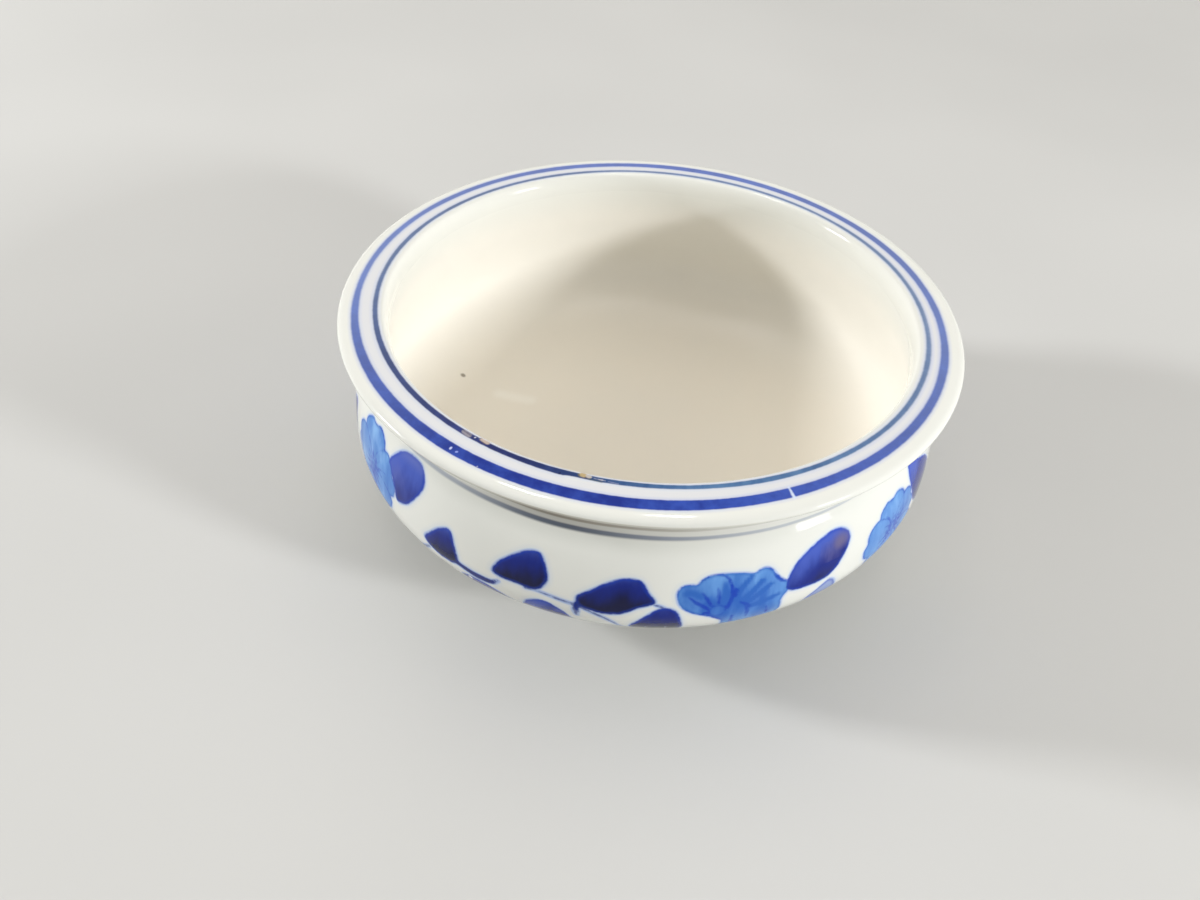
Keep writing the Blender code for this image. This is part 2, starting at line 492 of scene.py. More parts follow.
DOUBLE_LINES = [
    ([(-81.0, 11.3), (-81.1, 10.0), (-80.5, 9.1), (-79.3, 8.7)], (0.15, 0.25, 0.3, 0.15)),
    ([(-78.1, 8.8), (-77.2, 7.8), (-76.1, 7.1), (-74.8, 6.9), (-73.5, 7.3), (-72.6, 8.3)],
     (0.3, 0.4, 0.35, 0.4, 0.45, 0.5)),
    ([(-72.8, 8.1), (-72.2, 9.6), (-71.9, 11.3), (-72.0, 13.1), (-72.5, 14.8)],
     (0.5, 0.6, 0.8, 0.75, 0.85)),
    ([(-71.8, 10.3), (-71.1, 10.9), (-71.3, 12.4)], (0.35, 0.7, 0.4)),
    ([(-79.2, 11.5), (-77.6, 13.0), (-75.8, 14.6)], (0.35, 0.8, 0.75)),
    ([(-77.1, 10.5), (-76.2, 12.0), (-75.3, 13.6)], (0.3, 0.65, 0.65)),
    ([(-74.5, 9.8), (-74.2, 11.5), (-74.1, 13.3)], (0.45, 0.7, 0.55)),
    ([(-76.4, 15.6), (-75.6, 15.6), (-74.7, 16.3), (-73.5, 16.6)], (0.6, 0.9, 0.4, 0.3)),
    ([(-80.0, 14.2), (-77.5, 15.6), (-75.7, 16.4), (-74.2, 17.3), (-73.2, 18.3)],
     (0.15, 0.3, 0.35, 0.4, 0.4)),
    ([(-70.4, 13.8), (-69.2, 14.6), (-68.4, 15.4)], (0.55, 0.7, 0.6)),
    ([(-69.1, 15.2), (-68.7, 16.8), (-68.5, 18.8)], (0.6, 0.7, 0.3)),
    ([(-65.2, 16.6), (-64.7, 18.6), (-64.3, 20.8)], (0.25, 0.45, 0.2)),
    ([(-67.9, 7.6), (-67.1, 7.1), (-66.1, 7.1), (-65.0, 8.0)], (0.3, 0.4, 0.35, 0.3)),
    ([(-64.9, 8.5), (-64.1, 9.7), (-63.0, 10.8), (-61.8, 11.3)], (0.3, 0.7, 0.7, 0.5)),
    ([(-71.2, 17.4), (-71.0, 19.6), (-70.5, 22.0)], (0.5, 0.6, 0.3)),
]
DOUBLE_SHADES = [
    ([(-71.6, 12.8), (-70.4, 10.6), (-68.8, 8.2)], 0.45, 0.55),
    ([(-70.0, 14.4), (-68.8, 12.4), (-66.9, 9.7)], 0.45, 0.6),
    ([(-69.4, 14.6), (-67.4, 12.9), (-65.0, 10.9)], 0.35, 0.5),
    ([(-68.4, 15.4), (-66.2, 14.9), (-63.2, 14.0)], 0.4, 0.4),
    ([(-79.6, 10.6), (-78.4, 10.6), (-77.4, 11.4)], 0.7, 0.3),
    ([(-73.4, 9.0), (-73.1, 11.0), (-73.2, 13.4)], 0.5, 0.35),
]

# The dark joint from which two stems part, and the stems with their widths
JOINT = [(-97.1, 14.4), (-97.4, 15.8), (-97.2, 17.4)]
STEMS = [
    ([(-106.4, 14.5), (-105.2, 14.4), (-104.0, 14.4), (-101.6, 14.8), (-99.4, 15.2),
      (-97.6, 15.4)], (0.7, 0.4, 0.4, 0.45, 0.5, 0.6)),
    ([(-97.3, 15.0), (-97.6, 16.8), (-97.4, 18.6)], (1.1, 1.0, 0.5)),
    ([(-84.6, 13.2), (-83.6, 13.6), (-82.8, 14.2)], (0.4, 0.5, 0.6)),
    ([(-97.4, 15.4), (-95.2, 16.5), (-93.2, 17.6), (-91.4, 19.2), (-89.4, 22.0), (-84.4, 24.8)],
     (0.6, 0.6, 0.7, 0.6, 0.4, 0.3)),
]

# Brown-grey patches in the leaves: middle, radius and strength. Most are stains; the third, in the
# middle of the oval leaf, is painted sheen.
STAIN_AND_SHEEN_PATCHES = (
    ((-51.6, 7.0), 2.4, 0.95), ((-53.4, 8.2), 4.0, 0.55), ((-135.8, 6.4), 3.2, 0.25),
    ((50.6, 6.8), 2.4, 0.5), ((154.6, 7.2), 2.4, 0.5), ((7.0, 13.0), 2.0, 0.4),
)


def moved(points, shift, turn=0.0, size=1.0, lift=0.0):
    """The points turned and resized about their own middle, then shifted round the bowl."""
    points = np.array(points, float)
    middle = (points.min(0) + points.max(0)) / 2
    angle = radians(turn)
    spin = np.array([[cos(angle), sin(angle)], [-sin(angle), cos(angle)]])
    return (points - middle) @ spin * size + middle + (shift, lift)


def round_flower(painting, heart, size, turn):
    """A five-petalled flower seen full face, each petal over the one before it."""
    heart = np.array(heart, float)
    for number in range(5):
        direction = radians(turn + number * 144.0)
        out = np.array([cos(direction), -sin(direction)])
        side = np.array([-out[1], out[0]])
        reach = size * (1.0 + 0.07 * sin(2.3 * number + turn))
        shape = [(-0.05, 0.12), (0.5, 0.47), (0.82, 0.48), (1.0, 0.24), (0.96, 0.0),
                 (1.01, -0.24), (0.84, -0.49), (0.5, -0.46), (-0.05, -0.12)]
        points = [heart + reach * (forward * out + sideways * side) for forward, sideways in shape]
        painting.petal(points, heart, 0.22, 0.12)
    painting.ring(heart, 0.8, 0.35)
    for number in range(15):
        direction = radians(turn + number * 24.0 + 5.0 * sin(3.1 * number))
        out = np.array([cos(direction), -sin(direction)])
        near, far = 0.16 * size, size * (0.5 + 0.16 * sin(1.7 * number))
        bend = np.array([-out[1], out[0]]) * 0.04 * size * sin(number)
        line = [heart + near * out, heart + (near + far) / 2 * out + bend, heart + far * out]
        painting.stroke("ink", line, (0.5, 0.4, 0.1))


def double_flower(painting, shift):
    washes = np.array(DOUBLE_WASH) + (shift, 0)
    for heart in DOUBLE_HEARTS:
        painting.wash(washes, np.array(heart) + (shift, 0))
    for line, half, depth in DOUBLE_SHADES:
        painting.shade(np.array(line) + (shift, 0), half, depth)
    for line, widths in DOUBLE_LINES:
        painting.stroke("ink", np.array(line) + (shift, 0), widths)
    painting.ring(np.array(DOUBLE_HEARTS[0]) + (shift, 0.3), 1.35, 0.3)


def spray(painting, shift, sway):
    """The part of the vine from the left leaf to the far one, shifted round the bowl."""
    leaves = (
        (LEAF_LEFT, 0.18), (LEAF_MIDDLE, 0.1), (LEAF_UNDER, 0.05), (LEAF_RIGHT, 0.68),
        (LEAF_SLIP, 1.5), (LEAF_FAINT, 0.5), (LEAF_FAR, 0.45),
    )
    for number, (points, tone) in enumerate(leaves):
        turn = sway * 6.0 * sin(2.1 * number + shift)
        size = 1.0 + sway * 0.05 * cos(3.7 * number + shift)
        lift = sway * 0.7 * sin(1.3 * number + 2 * shift)
        painting.leaf(moved(points, shift, turn, size, lift), tone)
    for line, widths in STEMS:
        painting.stroke("stem", np.array(line) + (shift, 0), widths)
    painting.stroke("leaf", np.array(JOINT) + (shift, 0), (1.1, 1.0, 0.4))
    double_flower(painting, shift)
    round_flower(painting, (-35.9 + shift, 13.3), 8.3, 100.0 + sway * 30)


def paint(painting):
    spray(painting, 0.0, 0.0)
    spray(painting, 103.0, 1.0)
    spray(painting, 207.0, -1.0)
    # Painted sheen: the oval leaf is set lighter than most
    painting.leaf(LEAF_OVAL, 0.75)
    painting.leaf(LEAF_STEEP, 0.25)
    painting.stroke("leaf", [(-120.0, 16.4), (-117.6, 16.9), (-115.2, 17.1), (-113.0, 16.8),
                             (-111.4, 15.6)], (1.3, 1.5, 1.6, 1.2, 0.4))
    painting.leaf(LEAF_LOW, 0.3)
    painting.leaf(moved(LEAF_STEEP, -38.0, 10.0, 0.9, -3.0), 0.4)
    round_flower(painting, (-145.5, 12.0), 8.7, 96.0)
    painting.stroke("stem", [(-139.0, 19.0), (-135.0, 21.0), (-131.0, 20.6), (-127.0, 17.4)],
                    (0.7, 0.6, 0.6, 0.6))
    for centre, radius, strength in STAIN_AND_SHEEN_PATCHES:
        painting.stain_and_sheen_patch(centre, radius, strength)


# Rim bands, and the painted shade in the neck, round the bowl: values at these angles, and between
# them smoothly

ROUND_ANGLES = (-180, -150, -120, -105, -90, -75, -60, -30, 0, 45, 90, 135)
OUTER_WIDTHS = (1.2, 1.7, 2.2, 2.3, 2.3, 2.2, 2.0, 1.6, 1.4, 1.6, 1.8, 1.5)
OUTER_PALENESS = (0.5, 0.25, 0.0, 0.0, 0.0, 0.0, 0.08, 0.3, 0.42, 0.35, 0.3, 0.4)
INNER_WIDTHS = (0.95, 1.0, 1.05, 1.1, 1.1, 1.0, 0.95, 0.95, 0.9, 0.9, 0.9, 1.0)
INNER_PALENESS = (0.3, 0.12, 0.03, 0.0, 0.0, 0.0, 0.05, 0.25, 0.4, 0.35, 0.35, 0.3)
# Painted shade in the neck and its crease, strongest at the front left: its strength, then the width
# of the line in the crease
NECK_SHADE_STRENGTHS = (0.3, 0.22, 0.4, 0.95, 0.72, 0.38, 0.2, 0.06, 0.1, 0.25, 0.35, 0.3)
CREASE_LINE_WIDTHS = (0.6, 0.7, 0.75, 0.8, 0.7, 0.5, 0.4, 0.35, 0.35, 0.4, 0.5, 0.5)
TEAL = (0.3, 0.1, 0.0, 0.15, 0.8, 1.0, 0.9, 0.7, 0.5, 0.5, 0.4, 0.3)

# Mean radii of the outer and inner band, and the angle at which the inner one has a small jog
OUTER_RADIUS = 56.25
INNER_RADIUS = 52.87
JOG_ANGLE = -101.6


def round_values(angle, values):
    shifts = (-6, -3, 0, 3, 6)
    reads = [np.interp(angle + shift, ROUND_ANGLES, values, period=360) for shift in shifts]
    return np.mean(reads, axis=0)


def rim_layers(profile, angle, along):
    """Distances to the edges of the two bands, how pale the bands are, and how strong the painted
    shade in the neck is.
    """
    turn = np.radians(angle)
    outer_radius = OUTER_RADIUS + 0.45 * np.cos(turn + radians(130))
    inner_radius = INNER_RADIUS - 0.15 * np.cos(turn + radians(105))
    inner_radius = inner_radius - 0.2 * np.cos(2 * turn + radians(210))
    past_jog = wrapped(angle - JOG_ANGLE)
    jog = -0.15 * np.tanh(past_jog / 0.5) * np.exp(-(past_jog / 14.0) ** 2)
    outer_width = round_values(angle, OUTER_WIDTHS)
    inner_width = round_values(angle, INNER_WIDTHS) + jog
    outer_place = profile.rim_place(outer_radius)
    inner_place = profile.rim_place(inner_radius) + jog / 2
    return {
        "outer": np.abs(along - outer_place) - outer_width / 2,
        "inner": np.abs(along - inner_place) - inner_width / 2,
        "outer_pale": round_values(angle, OUTER_PALENESS),
        "inner_pale": round_values(angle, INNER_PALENESS),
        "teal": round_values(angle, TEAL),
        # How strong the painted shade in the neck is, round the bowl
        "neck_shading": round_values(angle, NECK_SHADE_STRENGTHS),
        "crease_line_width": round_values(angle, CREASE_LINE_WIDTHS),
    }


def store(mesh, name, values):
    layer = mesh.attributes.new(name, "FLOAT", "POINT")
    layer.data.foreach_set("value", np.asarray(values, np.float32))


# Unwrapping: strips for the rim and the painted belly, discs for the hollow and the underside

STRIP_SCALE = 6.3 / 1024
DISC_SCALE = 1.42 / 1024
SECTOR = 120.0
STRIP_LEFT = 0.006
STRIP_TOP = 0.99
STRIP_STEP = 0.33
HOLLOW_DISC = (0.884, 0.84)
UNDER_DISC = (0.884, 0.58)


def unwrap(mesh, profile, angle, along):
    layer = mesh.uv_layers.new(name="OFBake")
    loops = np.empty(len(mesh.loops), np.int32)
    mesh.loops.foreach_get("vertex_index", loops)
    counts = np.empty(len(mesh.polygons), np.int32)
    mesh.polygons.foreach_get("loop_total", counts)
    face = np.repeat(np.arange(len(counts)), counts)
    starts = np.concatenate([[0], np.cumsum(counts)[:-1]])
    place = along[loops]
    middle = np.add.reduceat(place, starts) / counts
    turned = (angle[loops] - FIRST_ANGLE) % 360.0
    first = turned[starts][face]
    turned = first + wrapped(turned - first)
    centre = (np.add.reduceat(turned, starts) / counts)[face]
    sector = np.clip(np.floor(centre / SECTOR), 0, 2)
    belt_top = profile.lip - LIP_LEAD
    across = np.radians(turned - sector * SECTOR) * BELLY_RADIUS
    u = STRIP_LEFT + across * STRIP_SCALE
    v = STRIP_TOP - sector * STRIP_STEP - (place - belt_top) * STRIP_SCALE
    polar = np.radians(angle[loops])
    inner = middle[face] < belt_top
    outer = middle[face] > PAINTED_DEPTH
    hollow_size = (place - profile.start) * DISC_SCALE
    u = np.where(inner, HOLLOW_DISC[0] + hollow_size * np.cos(polar), u)
    v = np.where(inner, HOLLOW_DISC[1] + hollow_size * np.sin(polar), v)
    under_size = (profile.end - place) * DISC_SCALE
    u = np.where(outer, UNDER_DISC[0] + under_size * np.cos(polar), u)
    v = np.where(outer, UNDER_DISC[1] + under_size * np.sin(polar), v)
    layer.data.foreach_set("uv", np.stack([u, v], 1).astype(np.float32).ravel())


# Materials

# Colours as they are seen, from 0 to 255: the glaze and the paint that has bled into it
# Painted shade: the outside glaze is set darker than the inside
GLAZE_OUTSIDE_SHADED = (227, 228, 222)
GLAZE_INSIDE = (240, 238, 231)
# Painted shade: darker and warmer towards the floor of the hollow
HOLLOW_FLOOR_SHADE = (233, 226, 213)
GLAZE_MOTTLE = (224, 223, 215)
GLAZE_BLED = (172, 194, 230)
GLAZE_FRINGE = (126, 162, 226)
BARE_CLAY = (214, 203, 182)

# Stems, petals and leaves
STEM_BLUE = (70, 82, 142)
PETAL_WASH = (104, 158, 220)
PETAL_DEEP = (40, 98, 186)
PETAL_PALE = (146, 190, 236)
PETAL_EDGE = (40, 96, 184)
INK_BLUE = (8, 60, 178)
LEAF_DARK = (4, 10, 58)
LEAF_NAVY = (8, 32, 126)
LEAF_BRIGHT = (66, 90, 184)
LEAF_PALE = (140, 158, 204)
LEAF_EDGE = (12, 58, 176)
# Colour of the leaf patches: stains, and painted sheen in the oval leaf
LEAF_STAIN_AND_SHEEN = (114, 104, 128)

# Bands of the rim: each one's dark, light and pale tones, and the glaze between them
OUTER_TONES = ((22, 44, 134), (48, 78, 174), (150, 172, 222))
INNER_TONES = ((20, 24, 84), (40, 52, 124), (158, 180, 212))
TEAL_TONES = ((50, 86, 134), (84, 122, 164))
BAND_BLED = (150, 168, 222)
BAND_GROUND = (214, 215, 220)

# Painted shade under the rim: below the crease, in the neck, a brown line in the neck and a line under
# the roll; and the blue line in the crease, as lit and as shaded
SHADE_BELOW_CREASE = (186, 187, 180)
SHADE_IN_NECK = (156, 154, 148)
SHADE_LINE_IN_NECK = (118, 108, 92)
SHADE_UNDER_ROLL = (142, 132, 110)
CREASE_LINE_LIT = (140, 156, 186)
CREASE_LINE_SHADED = (46, 54, 70)

# Floor
FLOOR_TONES = ((197, 197, 195), (204, 204, 202))


def colour(seen):
    """A colour as it is seen, in the linear values that a shader takes."""
    seen = np.array(seen) / 255.0
    linear = np.where(seen <= 0.04045, seen / 12.92, ((seen + 0.055) / 1.055) ** 2.4)
    return (*[float(value) for value in linear], 1.0)


class Nodes:
    """Short words for the nodes that a material is made of."""

    def __init__(self, name):
        self.material = bpy.data.materials.new(name)
        self.material.use_nodes = True
        self.tree = self.material.node_tree
        self.shader = self.tree.nodes["Principled BSDF"]

    def set(self, socket, value):
        if isinstance(value, bpy.types.NodeSocket):
            self.tree.links.new(value, socket)
        else:
            socket.default_value = value

    def make(self, kind, **settings):
        node = self.tree.nodes.new(kind)
        for name, value in settings.items():
            setattr(node, name, value)
        return node

    def attribute(self, name):
        return self.make("ShaderNodeAttribute", attribute_name=name).outputs["Fac"]

    def math(self, operation, *values, clamp=False):
        node = self.make("ShaderNodeMath", operation=operation, use_clamp=clamp)
        for socket, value in zip(node.inputs, values):
            self.set(socket, value)
        return node.outputs[0]

    def times(self, first, second):
        return self.math("MULTIPLY", first, second)

    def scaled(self, value, factor, added, clamp=False):
        """The value times the factor, plus what is added."""
        return self.math("MULTIPLY_ADD", value, factor, added, clamp=clamp)

    def spread(self, value, low, high, low_out=0.0, high_out=1.0):
        """A smooth step from one value to another."""
        node = self.make("ShaderNodeMapRange", interpolation_type="SMOOTHSTEP")
        for name, item in (("Value", value), ("From Min", low), ("From Max", high),
                           ("To Min", low_out), ("To Max", high_out)):
            self.set(node.inputs[name], item)
        return node.outputs[0]

    def noise(self, scale, detail=2.0, stretch=None, roughness=0.5):
        """Noise around 0, about from -0.3 to 0.3, with its scale in features per metre."""
        where = self.make("ShaderNodeTexCoord").outputs["Object"]
        if stretch:
            mapping = self.make("ShaderNodeMapping")
            self.set(mapping.inputs["Vector"], where)
            mapping.inputs["Scale"].default_value = stretch
            where = mapping.outputs[0]
        node = self.make("ShaderNodeTexNoise")
        self.set(node.inputs["Vector"], where)
        node.inputs["Scale"].default_value = scale
        node.inputs["Detail"].default_value = detail
        node.inputs["Roughness"].default_value = roughness
        return self.math("SUBTRACT", node.outputs["Fac"], 0.5)

    def mix(self, share, first, second):
        node = self.make("ShaderNodeMix", data_type="RGBA")
        self.set(node.inputs[0], share)
        self.set(node.inputs[6], first)
        self.set(node.inputs[7], second)
        return node.outputs[2]

    def vector(self, operation, *values):
        node = self.make("ShaderNodeVectorMath", operation=operation)
        for socket, value in zip(node.inputs, values):
            self.set(socket, value)
        single = operation in ("DOT_PRODUCT", "LENGTH", "DISTANCE")
        return node.outputs["Value" if single else "Vector"]

    def near_line(self, start, end, half, softness):
        """1 along a short line between two points in mm, else 0, with a ragged edge."""
        start, end = Vector(start) * MM, Vector(end) * MM
        step = end - start
        where = self.make("ShaderNodeTexCoord").outputs["Object"]
        reach = self.vector("SUBTRACT", where, start)
        share = self.vector("DOT_PRODUCT", reach, step)
        share = self.math("DIVIDE", share, step.length_squared + 1e-12, clamp=True)
        away = self.vector("DISTANCE", reach, self.vector("MULTIPLY", step, share))
        away = self.scaled(self.grain, 0.0006, away)
        return self.spread(away, (half + softness) * MM, max(half - softness, 0) * MM)


# Small marks of use and firing, and one painted reflection: the ends of each in mm, its half width,
# softness, colour and strength.
# Those of the rim lie on its flat top.
RIM_MARKS = (
    ((24.36, -49.65), (25.15, -51.65), 0.29, 0.14, (206, 218, 238), 0.95),
    ((-28.32, -43.95), (-27.35, -44.73), 0.46, 0.22, (158, 152, 156), 0.8),
    ((-28.7, -43.5), (-26.2, -45.4), 0.12, 0.15, (58, 58, 92), 0.7),
    ((-26.28, -45.17), (-26.28, -45.17), 0.16, 0.1, (190, 192, 214), 0.9),
    ((-25.62, -45.44), (-25.66, -45.40), 0.12, 0.08, (176, 180, 206), 0.9),
    ((-25.14, -45.5), (-24.12, -46.2), 0.4, 0.2, (196, 178, 164), 0.9),
    ((-25.45, -45.3), (-25.2, -45.15), 0.16, 0.1, (112, 88, 76), 0.8),
    ((-25.0, -46.1), (-24.3, -46.6), 0.14, 0.1, (78, 66, 78), 0.8),
    ((-29.76, -48.48), (-29.62, -48.08), 0.17, 0.1, (196, 206, 246), 0.9),
    ((-28.61, -48.98), (-28.55, -48.94), 0.15, 0.1, (150, 166, 236), 0.8),
    ((-28.5, -47.85), (-28.4, -47.9), 0.12, 0.08, (30, 34, 60), 0.8),
    ((-24.76, -51.84), (-24.7, -51.8), 0.12, 0.08, (216, 222, 240), 0.5),
    ((-8.16, -51.3), (-7.9, -51.42), 0.5, 0.2, (186, 164, 118), 0.95),
    ((-8.75, -51.25), (-8.6, -51.75), 0.16, 0.14, (84, 88, 84), 0.7),
    ((-7.6, -51.95), (-7.2, -51.9), 0.14, 0.12, (92, 76, 56), 0.7),
    ((-7.35, -51.54), (-6.97, -51.72), 0.3, 0.16, (198, 190, 180), 0.85),
    ((-6.98, -52.2), (-5.0, -52.5), 0.2, 0.14, (66, 84, 98), 0.7),
    ((-6.2, -51.9), (-4.48, -52.2), 0.1, 0.08, (176, 174, 188), 0.8),
    ((-3.9, -52.34), (-2.41, -52.6), 0.12, 0.1, (140, 146, 178), 0.7),
    ((-11.72, -51.5), (-11.6, -51.45), 0.16, 0.12, (14, 22, 70), 0.9),
)
WALL_MARKS = (
    ((-41.37, 13.69, 10.42), (-41.3, 13.6, 10.42), 0.5, 0.3, (120, 112, 96), 0.8),
    # A painted reflection: a faint light streak low in the hollow
    ((-32.3, 10.7, 8.3), (-25.3, 10.2, 7.8), 1.3, 1.2, (252, 252, 246), 0.25),
    ((-27.08, -51.36, 17.37), (-26.9, -51.4, 17.2), 0.42, 0.15, (244, 244, 238), 0.9),
    ((4.36, -57.18, 15.88), (4.4, -57.18, 15.9), 0.2, 0.1, (214, 222, 240), 0.8),
    ((6.06, -57.2, 16.18), (6.1, -57.2, 16.18), 0.16, 0.1, (214, 222, 240), 0.8),
    ((7.77, -57.01, 16.23), (7.8, -57.0, 16.2), 0.2, 0.1, (214, 222, 240), 0.8),
)


def all_marks():
    for start, end, *looks in RIM_MARKS:
        yield (*start, BOWL_HEIGHT), (*end, BOWL_HEIGHT), *looks
    yield from WALL_MARKS


def glazed_body(nodes, profile):
    """Off-white body under a clear glaze, warmer in the hollow; the outside is set darker as painted
    shade, and the floor of the hollow darker and warmer as painted shade.
    """
    inside = nodes.spread(nodes.along, profile.lip + 1.0, profile.lip - 10.0)
    base = nodes.mix(inside, colour(GLAZE_OUTSIDE_SHADED), colour(GLAZE_INSIDE))
    # Painted shade towards the floor of the hollow
    deep = nodes.spread(nodes.along, profile.lip - 8.0, profile.lip - 45.0)
    base = nodes.mix(deep, base, colour(HOLLOW_FLOOR_SHADE))
    tint = nodes.scaled(nodes.mottle, 0.9, 0.35, clamp=True)
    return nodes.mix(nodes.times(tint, 0.3), base, colour(GLAZE_MOTTLE))


def bled_blue(nodes, base, nearest):
    """Soft blue that has run out of the paint into the glaze."""
    base = nodes.mix(nodes.spread(nearest, 1.5, 0.0, 0.0, 0.22), base, colour(GLAZE_BLED))
    fringe = nodes.spread(nearest, 0.5, 0.05, 0.0, 0.6)
    return nodes.mix(fringe, base, colour(GLAZE_FRINGE))


def stems(nodes, base):
    edge = nodes.math("ADD", nodes.attribute("stem"), nodes.rough_edge)
    return nodes.mix(nodes.spread(edge, 0.12, -0.22, 0, 0.85), base, colour(STEM_BLUE))


def petals(nodes, base):
    """A blue wash, with the lines of a finer brush over it."""
    edge = nodes.math("ADD", nodes.attribute("petal"), nodes.rough_edge)
    deep = nodes.scaled(nodes.brush, 1.3, nodes.attribute("petal_tone"))
    wash = nodes.mix(nodes.spread(deep, -0.3, 0.5), colour(PETAL_WASH), colour(PETAL_DEEP))
    pale = nodes.spread(nodes.scaled(nodes.mottle, 1.2, deep), -0.05, -0.45, 0, 0.6)
    wash = nodes.mix(pale, wash, colour(PETAL_PALE))
    edge_share = nodes.spread(edge, -0.8, -0.1, 0, 0.5)
    wash = nodes.mix(edge_share, wash, colour(PETAL_EDGE))
    base = nodes.mix(nodes.spread(edge, 0.15, -0.15), base, wash)
    line = nodes.scaled(nodes.grain, 0.4, nodes.attribute("ink"))
    thin = nodes.scaled(nodes.brush, 1.1, 0.82, clamp=True)
    share = nodes.times(nodes.spread(line, 0.22, -0.25), thin)
    return nodes.mix(share, base, colour(INK_BLUE))


def leaves(nodes, base):
    """Deep navy, brighter where the brush left less colour, darker towards each leaf's lower right as
    painted shade, with brown-grey patches, one of them painted sheen.
    """
    edge = nodes.math("ADD", nodes.attribute("leaf"), nodes.rough_edge)
    tone = nodes.scaled(nodes.brush, 0.9, nodes.attribute("leaf_tone"))
    # Painted shade: darker towards the lower right of each leaf
    bright = nodes.scaled(nodes.attribute("leaf_painted_shade"), -0.5, tone)
    paint = nodes.mix(nodes.spread(bright, -0.15, 0.45), colour(LEAF_DARK), colour(LEAF_NAVY))
    paint = nodes.mix(nodes.spread(bright, 0.35, 1.0), paint, colour(LEAF_BRIGHT))
    paint = nodes.mix(nodes.spread(bright, 1.1, 1.7), paint, colour(LEAF_PALE))
    paint = nodes.mix(nodes.spread(edge, -0.9, -0.05, 0, 0.55), paint, colour(LEAF_EDGE))
    # Brown-grey patches: stains, and painted sheen in the oval leaf
    stain_and_sheen = nodes.scaled(nodes.brush, 0.8, nodes.attribute("stain_and_sheen"))
    paint = nodes.mix(nodes.spread(stain_and_sheen, 0.1, 0.9, 0, 0.75), paint, colour(LEAF_STAIN_AND_SHEEN))
    return nodes.mix(nodes.spread(edge, 0.22, -0.2), base, paint)


def band(nodes, base, name, tone, dark, light, pale):
    """One band of the rim, blurred into the glaze where it is pale."""
    edge = nodes.scaled(nodes.wobble, 0.3, nodes.attribute(name))
    edge = nodes.scaled(nodes.grain, 0.14, edge)
    paleness = nodes.attribute(name + "_pale")
    base = nodes.mix(nodes.spread(edge, 0.85, 0.0, 0, 0.34), base, colour(BAND_BLED))
    paint = nodes.mix(tone, dark, light)
    paint = nodes.mix(nodes.spread(edge, -0.4, 0.0, 0, 0.25), paint, light)
    paint = nodes.mix(paleness, paint, pale)
    softness = nodes.scaled(paleness, 0.35, 0.14)
    mask = nodes.spread(edge, softness, nodes.times(softness, -1.0))
    return nodes.mix(mask, base, paint)


def bands(nodes, base, profile):
    start = nodes.spread(nodes.along, profile.rim_place(53.0), profile.rim_place(54.0))
    stop = nodes.spread(nodes.along, profile.rim_place(56.0), profile.rim_place(55.2))
    tint = nodes.times(nodes.times(start, stop), 0.8)
    base = nodes.mix(tint, base, colour(BAND_GROUND))
    tone = nodes.scaled(nodes.brush, 0.7, nodes.slow)
    tone = nodes.scaled(nodes.grain, 0.35, tone)
    tone = nodes.spread(tone, -0.2, 0.33)
    base = band(nodes, base, "outer", tone, *[colour(seen) for seen in OUTER_TONES])
    teal = nodes.attribute("teal")
    dark, light, pale = [colour(seen) for seen in INNER_TONES]
    dark = nodes.mix(teal, dark, colour(TEAL_TONES[0]))
    light = nodes.mix(teal, light, colour(TEAL_TONES[1]))
    return band(nodes, base, "inner", tone, dark, light, pale)


def painted_neck_shade(nodes, base, profile):
    """Painted shade in the neck, below its crease and as thin brown lines, and the crease's blue line,
    darker where the painted shade is stronger.
    """
    neck_shading = nodes.attribute("neck_shading")
    under = profile.lengths[np.argmax(profile.points[:, 0])]
    # Painted shade just below the crease
    shade = nodes.times(neck_shading, nodes.spread(nodes.along, -0.6, 0.2, 0, 0.5))
    shade = nodes.times(shade, nodes.spread(nodes.along, 4.0, 0.0))
    base = nodes.mix(shade, base, colour(SHADE_BELOW_CREASE))
    # Painted shade in the neck
    neck = nodes.spread(nodes.along, -5.5, -2.5)
    neck = nodes.times(neck, nodes.spread(nodes.along, 0.7, 0.0))
    neck = nodes.times(nodes.times(neck, neck_shading), 0.75)
    base = nodes.mix(neck, base, colour(SHADE_IN_NECK))
    # A thin brown line of painted shade in the neck
    streak = nodes.scaled(nodes.wobble, 0.5, nodes.along)
    brown = nodes.math("ABSOLUTE", nodes.math("ADD", streak, 1.95))
    brown = nodes.times(nodes.spread(brown, 0.5, 0.15, 0, 0.8), neck_shading)
    base = nodes.mix(brown, base, colour(SHADE_LINE_IN_NECK))
    # A thin line of painted shade just under the widest edge of the roll
    edge = nodes.math("ABSOLUTE", nodes.math("SUBTRACT", nodes.along, float(under) + 0.3))
    edge = nodes.times(nodes.spread(edge, 0.45, 0.12, 0, 0.7), neck_shading)
    base = nodes.mix(edge, base, colour(SHADE_UNDER_ROLL))
    # The blue line in the crease, painted darker where the painted shade is stronger
    crease = nodes.scaled(nodes.wobble, 0.4, nodes.along)
    crease = nodes.math("ABSOLUTE", nodes.math("ADD", crease, 0.1))
    crease = nodes.math("DIVIDE", crease, nodes.attribute("crease_line_width"))
    share = nodes.scaled(neck_shading, 0.7, 0.3)
    share = nodes.times(nodes.spread(crease, 1.0, 0.3), share)
    slate = nodes.mix(neck_shading, colour(CREASE_LINE_LIT), colour(CREASE_LINE_SHADED))
    return nodes.mix(share, base, slate)


# The bare ring of the foot: how far before the recess it starts and ends, and the softness there
BARE_REACH = (6.4, 2.6)
BARE_SOFTNESS = 0.2


def bare_ring(nodes, profile):
    """1 on the ring that the bowl stands on, which is bare of glaze, else 0."""
    start, end = (profile.recess - reach for reach in BARE_REACH)
    starts = nodes.spread(nodes.along, start, start + BARE_SOFTNESS)
    ends = nodes.spread(nodes.along, end, end - BARE_SOFTNESS)
    return nodes.times(starts, ends)


